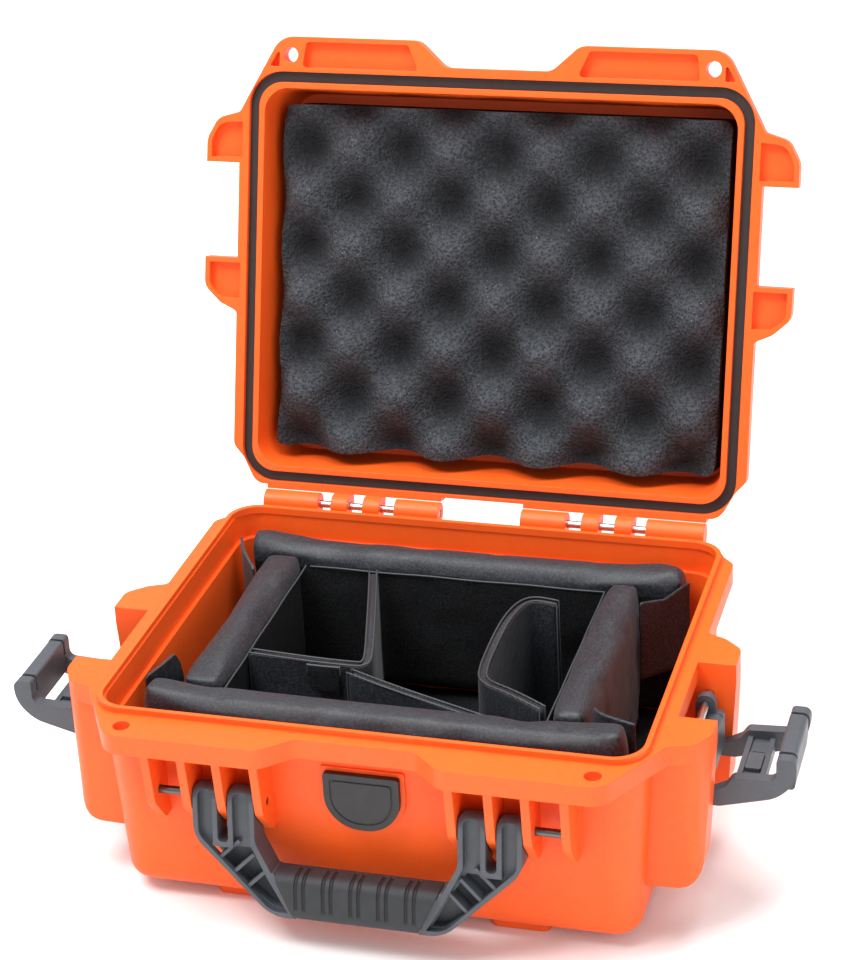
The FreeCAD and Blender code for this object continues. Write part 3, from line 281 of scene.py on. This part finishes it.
def nylon_cover(tint):
    """Pack-cloth of the pads and dividers, above the seam; brushed loop cloth below it."""
    finish = Finish("nylon_pack_cloth")
    threads = weave(finish, 5200.0)
    cloud = finish.spread(finish.grain(35, 5.0, 0.6), 0.3, 0.7)
    base = finish.blend(cloud, tint, [c * 0.55 for c in tint])
    base = finish.blend(finish.spread(threads, 0.2, 0.9, 0.0, 0.35), base, [c * 1.9 for c in tint])
    flecks = finish.spread(finish.grain(900, 4.0, 0.8), 0.46, 0.60, 0.0, 0.9)
    base = finish.blend(flecks, base, [c * 5.0 for c in tint])
    creases = finish.grain(26, 4.0, 0.5)
    normal = finish.bump(creases, 0.0030, 0.6)
    normal = finish.bump(threads, 0.00014, 0.7, normal)
    normal = finish.bump(finish.grain(700, 3.0, 0.6), 0.0002, 0.5, normal)
    return finish.close(base_color=base, roughness=finish.spread(cloud, 0.0, 1.0, 0.42, 0.58),
                        normal=normal, sheen_weight=0.1, sheen_roughness=0.4)


def loop_cloth():
    """Brushed loop lining, nearly black, that the dividers grip."""
    finish = Finish("loop_lining")
    pile = finish.grain(1500, 5.0, 0.75)
    base = finish.blend(finish.spread(pile, 0.42, 0.66), (0.002, 0.0021, 0.0025), (0.026, 0.028, 0.031))
    return finish.close(base_color=base, roughness=0.95, specular_ior_level=0.2,
                        normal=finish.bump(pile, 0.0007, 0.9))


def trim_tape():
    """Narrow binding tape round the dividers' edges."""
    finish = Finish("binding_tape")
    ribs = finish.spread(((finish.axes()[0] + finish.axes()[1]) * 4200.0).sine(), -1, 1)
    base = finish.blend(ribs, (0.022, 0.025, 0.029), (0.060, 0.066, 0.074))
    return finish.close(base_color=base, roughness=0.5, normal=finish.bump(ribs, 0.0001, 0.6))


def membrane_white():
    """Pale cloth of the valve's membrane."""
    finish = Finish("membrane_cloth")
    base = finish.blend(finish.grain(700), (0.75, 0.75, 0.73), (0.6, 0.6, 0.6))
    return finish.close(base_color=base, roughness=0.8)


def floor_paper():
    """Pale studio paper."""
    finish = Finish("floor_paper")
    base = finish.blend(finish.grain(3, 3.0), (0.93, 0.93, 0.93), (0.90, 0.90, 0.90))
    return finish.close(base_color=base, roughness=0.85, specular_ior_level=0.1)


# ------------------------------------------------------------------------------------- workbench
def alone(piece=None):
    """Nothing is selected but one piece, if it is given."""
    if bpy.context.object and bpy.context.object.mode != "OBJECT":
        bpy.ops.object.mode_set(mode="OBJECT")
    bpy.ops.object.select_all(action="DESELECT")
    if piece is not None:
        piece.select_set(True)
        bpy.context.view_layer.objects.active = piece
    return piece


def settle(name):
    """Name the new object and put its place into its mesh."""
    piece = bpy.context.object
    piece.name = piece.data.name = name
    bpy.ops.object.transform_apply(location=True, rotation=True, scale=True)
    return piece


def block(name, low, high):
    """A closed block between two corners, in metres."""
    low, high = Vector(low), Vector(high)
    alone()
    bpy.ops.mesh.primitive_cube_add(size=1, location=(low + high) / 2)
    bpy.context.object.scale = high - low
    return settle(name)


def modify(piece, kind, **settings):
    """Add one modifier and apply it."""
    alone(piece)
    made = piece.modifiers.new(kind.title(), kind)
    for key, value in settings.items():
        setattr(made, key, value)
    bpy.ops.object.modifier_apply(modifier=made.name)
    return piece


def smooth(piece, angle=40):
    """Smooth shading, except over edges sharper than an angle in degrees."""
    alone(piece)
    bpy.ops.object.shade_smooth_by_angle(angle=math.radians(angle))
    return piece


def clad(piece, material):
    """One material all over a piece."""
    piece.data.materials.clear()
    piece.data.materials.append(material)
    return piece


def bevel_where(piece, test, width, segments=3):
    """Bevel the edges whose middle passes a test."""
    alone(piece)
    bpy.ops.object.mode_set(mode="EDIT")
    bpy.ops.mesh.select_mode(type="EDGE")
    bpy.ops.mesh.select_all(action="DESELECT")
    bpy.ops.object.mode_set(mode="OBJECT")
    points = piece.data.vertices
    for edge in piece.data.edges:
        one, other = (points[k].co for k in edge.vertices)
        edge.select = test((one + other) / 2, other - one)
    bpy.ops.object.mode_set(mode="EDIT")
    bpy.ops.mesh.bevel(offset=width, segments=segments, profile=0.5)
    bpy.ops.object.mode_set(mode="OBJECT")
    return piece


def stuff(piece, voxel, swell, low, high):
    """Blow a block up into a stuffed pad; no point goes far or leaves the room between two corners."""
    modify(piece, "REMESH", mode="VOXEL", voxel_size=voxel)
    start = [point.co.copy() for point in piece.data.vertices]
    alone(piece)
    cloth = piece.modifiers.new("Cloth", "CLOTH")
    cloth.settings.use_pressure = True
    cloth.settings.uniform_pressure_force = 4.0
    cloth.settings.effector_weights.gravity = 0.0
    for step in range(1, 21):
        bpy.context.scene.frame_set(step)
    bpy.ops.object.modifier_apply(modifier=cloth.name)
    bpy.context.scene.frame_set(1)
    for point, before in zip(piece.data.vertices, start):
        move = point.co - before
        if move.length > swell:
            point.co = before + move * (swell / move.length)
    modify(piece, "SUBSURF", levels=1, render_levels=1)
    for point in piece.data.vertices:
        for axis in range(3):
            point.co[axis] = min(max(point.co[axis], low[axis]), high[axis])
    return piece


def crease(piece, depth, scale):
    """Small folds pressed into cloth, along its normals."""
    normals = [point.normal.copy() for point in piece.data.vertices]
    for point, normal in zip(piece.data.vertices, normals):
        fold = noise.noise(point.co * scale) + 0.5 * noise.noise(point.co * scale * 2.3)
        point.co += normal * (min(fold, 0.0) * depth)
    return piece


def second_finish(piece, material, test):
    """A second material on the faces that pass a test."""
    piece.data.materials.append(material)
    for face in piece.data.polygons:
        if test(face.center, face.normal):
            face.material_index = len(piece.data.materials) - 1
    return piece


def on_path(path, share):
    """The point and the direction at a share of a smooth path in plan."""
    def spot(at):
        at = min(max(at, 0.0), 1.0) * (len(path) - 1)
        k = min(int(at), len(path) - 2)
        u = at - k
        a, b = Vector(path[max(k - 1, 0)]), Vector(path[k])
        c, d = Vector(path[k + 1]), Vector(path[min(k + 2, len(path) - 1)])
        return 0.5 * (2 * b + (c - a) * u + (2 * a - 5 * b + 4 * c - d) * u * u
                      + (3 * b - a - 3 * c + d) * u * u * u)
    step = 0.004
    ahead = (spot(share + step) - spot(share - step)).normalized()
    return spot(share), ahead


def even_path(points, count=40):
    """The same path with points at equal steps."""
    fine = [on_path(points, k / 400)[0] for k in range(401)]
    run = [0.0]
    for one, other in zip(fine, fine[1:]):
        run.append(run[-1] + (other - one).length)
    even, k = [], 0
    for step in range(count + 1):
        goal = run[-1] * step / count
        while k < 399 and run[k + 1] < goal:
            k += 1
        share = (goal - run[k]) / max(run[k + 1] - run[k], 1e-9)
        even.append(tuple(fine[k].lerp(fine[k + 1], share)))
    return even, run[-1]


def panel(name, points, low, top, thick, voxel=0.0022):
    """An upright padded leaf that follows a path in plan; top gives its height at each share."""
    path, length = even_path(points)
    full = top(0.5) - low
    piece = block(name, (0, -thick / 2, 0), (length, thick / 2, full))
    bevel_where(piece, lambda middle, along: True, thick * 0.28, 3)
    modify(piece, "REMESH", mode="VOXEL", voxel_size=voxel)
    for point in piece.data.vertices:
        share = point.co.x / length
        spot, ahead = on_path(path, share)
        out = Vector((-ahead.y, ahead.x))
        tall = point.co.z / full
        rim = max(0.0, 1 - (full - point.co.z) / 0.006)
        middle = 1 - (2 * point.co.y / thick) ** 2
        puff = 1 + 0.18 * noise.noise(Vector((share * length * 30, tall * 2.2, thick * 90)))
        lean = 0.0012 * noise.noise(Vector((share * length * 18, tall * 1.3, 4.0)))
        spot = spot + out * (point.co.y * puff * 0.92 + lean)
        height = low + (top(share) - low) * tall - 0.0016 * rim * middle
        point.co = Vector((spot.x, spot.y, height))
    return smooth(piece, 60)


def cord(name, rows, radius):
    """Thin round cords along rows of points, as one mesh."""
    curve = bpy.data.curves.new(name, "CURVE")
    curve.dimensions = "3D"
    curve.bevel_depth = radius
    curve.bevel_resolution = 2
    for row in rows:
        line = curve.splines.new("POLY")
        line.points.add(len(row) - 1)
        for point, spot in zip(line.points, row):
            point.co = (*spot, 1)
    made = bpy.data.objects.new(name, curve)
    bpy.context.scene.collection.objects.link(made)
    alone(made)
    bpy.ops.object.convert(target="MESH")
    made = bpy.context.object
    made.name = made.data.name = name
    return smooth(made, 60)


def piping(name, points, low, top, thick, radius=0.00048):
    """The two thin cords along a leaf's top and down its ends."""
    path = even_path(points)[0]
    rows = []
    for side in (-1, 1):
        row = []
        for k in range(61):
            spot, ahead = on_path(path, 0.004 + 0.992 * k / 60)
            out = Vector((-ahead.y, ahead.x)) * (side * (thick / 2 - 0.0006))
            row.append((spot.x + out.x, spot.y + out.y, top(k / 60) - 0.0004))
        rows.append([(row[0][0], row[0][1], low + 0.01), *row, (row[-1][0], row[-1][1], low + 0.01)])
    return cord(name, rows, radius)


# --------------------------------------------------------------------------------------- pieces
def make_lid_foam(material, wave, depth):
    """Egg-crate foam, shaped with the lid shut and then turned with it."""
    low, high, corner = Vector((-0.1190, -0.0892)), Vector((0.1190, 0.0940)), 0.005
    middle, half = (low + high) / 2, (high - low) / 2
    alone()
    bpy.ops.mesh.primitive_grid_add(x_subdivisions=184, y_subdivisions=142, size=2)
    foam = settle("lid_egg_crate")
    for point in foam.data.vertices:
        spot = Vector((point.co.x * half.x, point.co.y * half.y))
        past = Vector((max(abs(spot.x) - (half.x - corner), 0), max(abs(spot.y) - (half.y - corner), 0)))
        if past.length > corner:
            past = past * (corner / past.length)
            spot.x = math.copysign(half.x - corner + past.x, spot.x)
            spot.y = math.copysign(half.y - corner + past.y, spot.y)
        rim = max(-point.co.x, point.co.y)
        place = spot + middle
        hills = math.cos(math.tau * place.x / wave) * math.cos(math.tau * (place.y - FOAM_ROW) / wave)
        ragged = noise.noise(Vector((place.x * 160, place.y * 160, 1.0))) * 0.0008
        drop = depth * (0.5 - 0.5 * hills) + ragged
        if rim > 0.9:
            cut = 0.0019 * (1 - hills) * (rim - 0.9) / 0.1
            spot = spot * (1 - cut / max(spot.length, 0.01))
        place = spot + middle
        point.co = Vector((place.x, place.y, FOAM_PEAKS + max(drop, 0.0)))
    alone(foam)
    bpy.ops.object.mode_set(mode="EDIT")
    bpy.ops.mesh.select_all(action="SELECT")
    bpy.ops.mesh.extrude_region_move(TRANSFORM_OT_translate={"value": (0, 0, 0.02)})
    bpy.ops.object.mode_set(mode="OBJECT")
    for point in foam.data.vertices:
        if point.select:
            point.co.z = FOAM_BACK
    alone(foam)
    bpy.ops.object.mode_set(mode="EDIT")
    bpy.ops.mesh.select_all(action="SELECT")
    bpy.ops.mesh.normals_make_consistent(inside=False)
    bpy.ops.object.mode_set(mode="OBJECT")
    turn = Matrix.Rotation(-LID_ANGLE, 4, "X")
    foam.data.transform(Matrix.Translation(HINGE_AXIS) @ turn @ Matrix.Translation(-HINGE_AXIS))
    smooth(foam, 50)
    clad(foam, material)
    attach(foam, "lid")
    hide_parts("lid_foam")
    return foam


def make_pad(name, node, low, high, edge, swell, finishes, inward=None, seam=0.0, flare=(0, 0),
             voxel=0.005):
    """One stuffed wall of the insert, with lining cloth below the seam on its inner face.

    Edge rounds the top, swell is how far a point may move, and flare widens the top to the left
    and to the back, where the tub's walls slope away."""
    inset = Vector((0.0012, 0.0012, 0.0005))
    pad = block(name, Vector(low) + inset, Vector(high) - inset)
    top = high[2]
    bevel_where(pad, lambda middle, along: middle.z > top - 0.004 and abs(along.z) < 0.001, edge, 4)
    bevel_where(pad, lambda middle, along: abs(along.z) > 0.03, 0.003, 2)
    rooms = (Vector(low), Vector(high) + Vector((0, 0, 0.0025)))
    stuff(pad, voxel, swell, *rooms)
    crease(pad, 0.0022, 30)
    for point in pad.data.vertices:
        rise = max((point.co.z - low[2]) / (top - low[2]), 0.0)
        point.co.x -= flare[0] * rise * min(max((-0.06 - point.co.x) / 0.06, 0.0), 1.0)
        point.co.y += flare[1] * rise * (point.co.y - low[1]) / (high[1] - low[1])
    smooth(pad, 60)
    clad(pad, finishes[0])
    if inward is not None:
        facing = Vector(inward)
        second_finish(pad, finishes[1], lambda spot, normal: spot.z < seam and normal.dot(facing) > 0.5)
    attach(pad, "base")
    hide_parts(node)
    return pad


def make_leaf(name, nodes, points, low, top, finishes, thick=0.005):
    """One divider with its two cords of piping."""
    leaf = clad(panel(name, points, low, top, thick), finishes[0])
    cords = clad(piping(f"{name}_piping", points, low, top, thick), finishes[1])
    for piece in (leaf, cords):
        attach(piece, "base")
    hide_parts(*nodes)
    return leaf


# -------------------------------------------------------------------------------------- settings
class CaseSettings(bpy.types.PropertyGroup):
    """Sizes and colours of the case's looks."""

    orange: FloatVectorProperty(name="Shell colour", description="Colour of the moulded shell",
                                subtype="COLOR", default=(0.97, 0.112, 0.012))
    slate: FloatVectorProperty(name="Latch colour", description="Colour of the latches and handle",
                               subtype="COLOR", default=(0.066, 0.074, 0.086))
    grip: FloatVectorProperty(name="Grip colour", description="Colour of the soft grip",
                              subtype="COLOR", default=(0.027, 0.030, 0.034))
    cover: FloatVectorProperty(name="Cover colour", description="Colour of the relief valve's cover",
                               subtype="COLOR", default=(0.020, 0.020, 0.021))
    cloth: FloatVectorProperty(name="Cloth colour", description="Colour of the insert's pack-cloth",
                               subtype="COLOR", default=(0.0075, 0.0086, 0.0112))
    foam_wave: FloatProperty(name="Foam wave", description="Distance between peaks along a row",
                             default=0.0522, min=0.01, max=0.1, unit="LENGTH")
    foam_depth: FloatProperty(name="Foam depth", description="Height of the peaks over the valleys",
                              default=0.016, min=0.002, max=0.03, unit="LENGTH")


def paint(names, material):
    """One material on several nodes of the frame."""
    for name in names:
        clad(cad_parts[name], material)


def both(stem):
    """The right and left node of a pair."""
    return [f"{stem}_right", f"{stem}_left"]


# ------------------------------------------------------------------------------------- operators
class CASE_OT_stage(bpy.types.Operator):
    """Pale floor, soft lamps and the camera"""

    bl_idname = "case.stage"
    bl_label = "Stage"

    def execute(self, context):
        scene = context.scene
        scene.view_settings.view_transform = "Standard"
        world = bpy.data.worlds.new("soft_room")
        scene.world = world
        world.use_nodes = True
        world.node_tree.nodes["Background"].inputs["Color"].default_value = (1.0, 1.0, 1.0, 1.0)
        world.node_tree.nodes["Background"].inputs["Strength"].default_value = 0.70

        alone()
        bpy.ops.mesh.primitive_plane_add(size=12, location=(0, 0, -0.0002))
        floor = settle("floor")
        clad(floor, floor_paper())

        lamps = [
            ("key_lamp", (-0.7, -0.7, 2.0), 0.9, 39.0),
            ("top_lamp", (0.2, 0.4, 2.3), 1.2, 48.0),
            ("fill_lamp", (1.6, -1.6, 0.9), 1.2, 10.0),
        ]
        for name, spot, width, power in lamps:
            data = bpy.data.lights.new(name, "AREA")
            data.shape = "SQUARE"
            data.size = width
            data.energy = power
            lamp = bpy.data.objects.new(name, data)
            scene.collection.objects.link(lamp)
            lamp.location = spot
            aim = Vector((0, 0.05, 0.12)) - Vector(spot)
            lamp.rotation_euler = aim.to_track_quat("-Z", "Y").to_euler()

        # A long lens from the front right, looking down a little, with the horizon slightly turned.
        yaw, pitch, roll = 0.3054, -0.4617, -0.0585
        ahead = Vector((-math.sin(yaw) * math.cos(pitch), math.cos(yaw) * math.cos(pitch), math.sin(pitch)))
        right = ahead.cross(Vector((0, 0, 1))).normalized()
        up = right.cross(ahead)
        level = math.cos(roll) * right + math.sin(roll) * up
        tall = -math.sin(roll) * right + math.cos(roll) * up
        data = bpy.data.cameras.new("camera")
        data.lens = 100.47
        data.sensor_width = 36
        data.shift_x, data.shift_y = 0.0319, 0.0277
        camera = bpy.data.objects.new("camera", data)
        scene.collection.objects.link(camera)
        turn = Matrix((level, tall, -ahead)).transposed()
        camera.matrix_world = Matrix.Translation((0.3335, -1.0846, 0.7365)) @ turn.to_4x4()
        scene.camera = camera
        return {"FINISHED"}


class CASE_OT_hardware(bpy.types.Operator):
    """Finishes of the moulded, rubber and steel parts"""

    bl_idname = "case.hardware"
    bl_label = "Hard parts"

    def execute(self, context):
        want = context.scene.case
        paint(["base_shell", "lid_shell"], orange_resin(want.orange))
        paint(["handle_frame", *both("latch_lever"), *both("latch_link"), *both("latch_lock")],
              slate_plastic(want.slate))
        paint(["handle_grip"], soft_grip(want.grip))
        paint(["vent_cover", "valve_body", "valve_nut"], dark_plastic(want.cover))
        paint([*both("hinge_pin"), *both("latch_link_pin"), *both("latch_lever_pin")], steel("pin_steel"))
        paint(both("handle_pin"), steel("dark_pin_steel", 0.25))
        paint(["lid_gasket", "valve_seal"], seal_rubber())
        paint(["valve_membrane"], membrane_white())
        paint(["lid_foam"], foam_black(want.foam_depth))
        paint([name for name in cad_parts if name.startswith(("insert_", "divider_"))], loop_cloth())
        return {"FINISHED"}


class CASE_OT_lid_foam(bpy.types.Operator):
    """Egg-crate foam in the lid"""

    bl_idname = "case.lid_foam"
    bl_label = "Lid foam"

    def execute(self, context):
        want = context.scene.case
        make_lid_foam(foam_black(want.foam_depth), want.foam_wave, want.foam_depth)
        return {"FINISHED"}


class CASE_OT_pads(bpy.types.Operator):
    """Floor and four stuffed walls of the insert"""

    bl_idname = "case.pads"
    bl_label = "Insert walls"

    def execute(self, context):
        nylon = nylon_cover(context.scene.case.cloth)
        lining = loop_cloth()
        pair = (nylon, lining)
        make_pad("pad_back", "insert_back_wall", (-0.1195, 0.0828, INSERT_LOW), (0.1180, 0.0993, 0.1015),
                 0.0048, 0.003, pair, (0, -1, 0), SEAM, (0.0040, 0.0030))
        make_pad("pad_front", "insert_front_wall", (-0.1195, -0.0748, INSERT_LOW), (0.1195, -0.0532, 0.1012),
                 0.0055, 0.003, pair, (0, 1, 0), SEAM, (0.0040, 0.0))
        make_pad("pad_left", "insert_left_wall", (-0.1075, -0.0526, INSERT_LOW), (-0.0846, 0.0821, 0.0972),
                 0.0028, 0.002, pair, (1, 0, 0), SIDE_SEAM)
        make_pad("pad_right", "insert_right_wall", (0.0741, -0.0526, INSERT_LOW), (0.0940, 0.0821, 0.0972),
                 0.0028, 0.002, pair, (-1, 0, 0), SIDE_SEAM)
        make_pad("pad_floor", "insert_floor", (-0.1195, -0.0748, 0.0098), (0.1195, 0.0990, 0.0156),
                 0.0012, 0.0006, (lining, lining), voxel=0.0025)
        tape = trim_tape()
        seams = [("seam_back", (-0.083, 0.0826, SEAM), (0.073, 0.0826, SEAM)),
                 ("seam_front", (-0.083, -0.0530, SEAM), (0.073, -0.0530, SEAM)),
                 ("seam_left", (-0.0845, -0.051, SIDE_SEAM), (-0.0845, 0.080, SIDE_SEAM)),
                 ("seam_right", (0.0740, -0.051, SIDE_SEAM), (0.0740, 0.080, SIDE_SEAM))]
        for name, start, end in seams:
            row = [Vector(start).lerp(Vector(end), k / 24) for k in range(25)]
            row = [spot + Vector((0, 0, 0.0002 * math.sin(k * 0.8))) for k, spot in enumerate(row)]
            seam = clad(cord(name, [row], 0.0005), tape)
            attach(seam, "base")
        return {"FINISHED"}


class CASE_OT_dividers(bpy.types.Operator):
    """Padded dividers with piped edges"""

    bl_idname = "case.dividers"
    bl_label = "Dividers"

    def execute(self, context):
        pair = (nylon_cover(context.scene.case.cloth), trim_tape())
        low = INSERT_LOW
        left = [(-0.0838, -0.0133), (-0.062, -0.0137), (-0.040, -0.0147), (-0.0275, -0.0150),
                (-0.0245, -0.0125), (-0.0255, -0.004), (-0.0310, 0.018), (-0.0390, 0.048),
                (-0.0478, 0.0795)]
        make_leaf("divider_left", ("divider_left_side", "divider_left_cross"), left, low,
                  lambda share: 0.0921 - 0.0010 * math.sin(share * 7), pair)
        front = [(-0.0300, -0.0222), (-0.010, -0.0300), (0.015, -0.0385), (0.0440, -0.0478)]
        make_leaf("divider_long", ("divider_front",), front, low,
                  lambda share: 0.0915 - 0.0030 * share, pair)
        right = [(0.0540, 0.0625), (0.0420, 0.0626), (0.0365, 0.0560), (0.0330, 0.040), (0.0318, 0.018),
                 (0.0330, -0.006), (0.0375, -0.0195), (0.0520, -0.0292), (0.0700, -0.0396)]
        make_leaf("divider_right", ("divider_right_middle", "divider_right_back", "divider_right_front"),
                  right, low, lambda share: 0.0918 + 0.0012 * math.sin(share * 9), pair)
        tab = [(-0.0523, -0.0193), (-0.044, -0.0195), (-0.0357, -0.0193)]
        make_leaf("divider_hook_tab", ("divider_tab",), tab, 0.0764, lambda share: 0.0910,
                  (loop_cloth(), trim_tape()), 0.0016)
        return {"FINISHED"}


class CASE_OT_corner_folds(bpy.types.Operator):
    """Folded cloth at the corners of the insert"""

    bl_idname = "case.corner_folds"
    bl_label = "Corner folds"

    def execute(self, context):
        cloth = nylon_cover(context.scene.case.cloth)
        folds = [
            ("fold_front_left", [(-0.1215, -0.0570), (-0.1140, -0.0480), (-0.1085, -0.0390)],
             [(0, 0.0985), (0.8, 0.1050), (0.92, 0.099), (1, 0.090)]),
            ("fold_back_left", [(-0.1220, 0.0880), (-0.1170, 0.0765), (-0.1085, 0.0650)],
             [(0, 0.1015), (0.35, 0.0990), (1, 0.0950)]),
            ("fold_front_right", [(0.0950, -0.0430), (0.1010, -0.0500), (0.1170, -0.0545)],
             [(0, 0.0990), (0.3, 0.1000), (1, 0.0985)]),
            ("fold_back_right", [(0.0950, 0.0640), (0.1040, 0.0735), (0.1170, 0.0850)],
             [(0, 0.0960), (0.5, 0.0930), (1, 0.0990)]),
        ]
        for name, points, heights in folds:
            def height(share, heights=heights):
                for (one, low), (two, high) in zip(heights, heights[1:]):
                    if share <= two:
                        return low + (high - low) * (share - one) / (two - one)
                return heights[-1][1]
            fold = panel(name, points, 0.050, height, 0.0018, 0.0011)
            clad(fold, cloth)
            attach(fold, "base")
        return {"FINISHED"}


OPERATORS = (CASE_OT_stage, CASE_OT_hardware, CASE_OT_lid_foam, CASE_OT_pads, CASE_OT_dividers,
             CASE_OT_corner_folds)


class CASE_PT_case(bpy.types.Panel):
    """The case's colours and its steps, in order"""

    bl_idname = "CASE_PT_case"
    bl_label = "Equipment case"
    bl_space_type = "VIEW_3D"
    bl_region_type = "UI"
    bl_category = "Case"

    def draw(self, context):
        column = self.layout.column()
        for name in CaseSettings.__annotations__:
            column.prop(context.scene.case, name)
        for made in OPERATORS:
            column.operator(made.bl_idname)


CLASSES = (CaseSettings, *OPERATORS, CASE_PT_case)


def register():
    for made in CLASSES:
        bpy.utils.register_class(made)
    bpy.types.Scene.case = PointerProperty(type=CaseSettings)


def unregister():
    del bpy.types.Scene.case
    for made in reversed(CLASSES):
        bpy.utils.unregister_class(made)


def main():
    register()
    bpy.ops.case.stage()
    bpy.ops.case.hardware()
    bpy.ops.case.lid_foam()
    bpy.ops.case.pads()
    bpy.ops.case.dividers()
    bpy.ops.case.corner_folds()


if __name__ == "__main__":
    main()
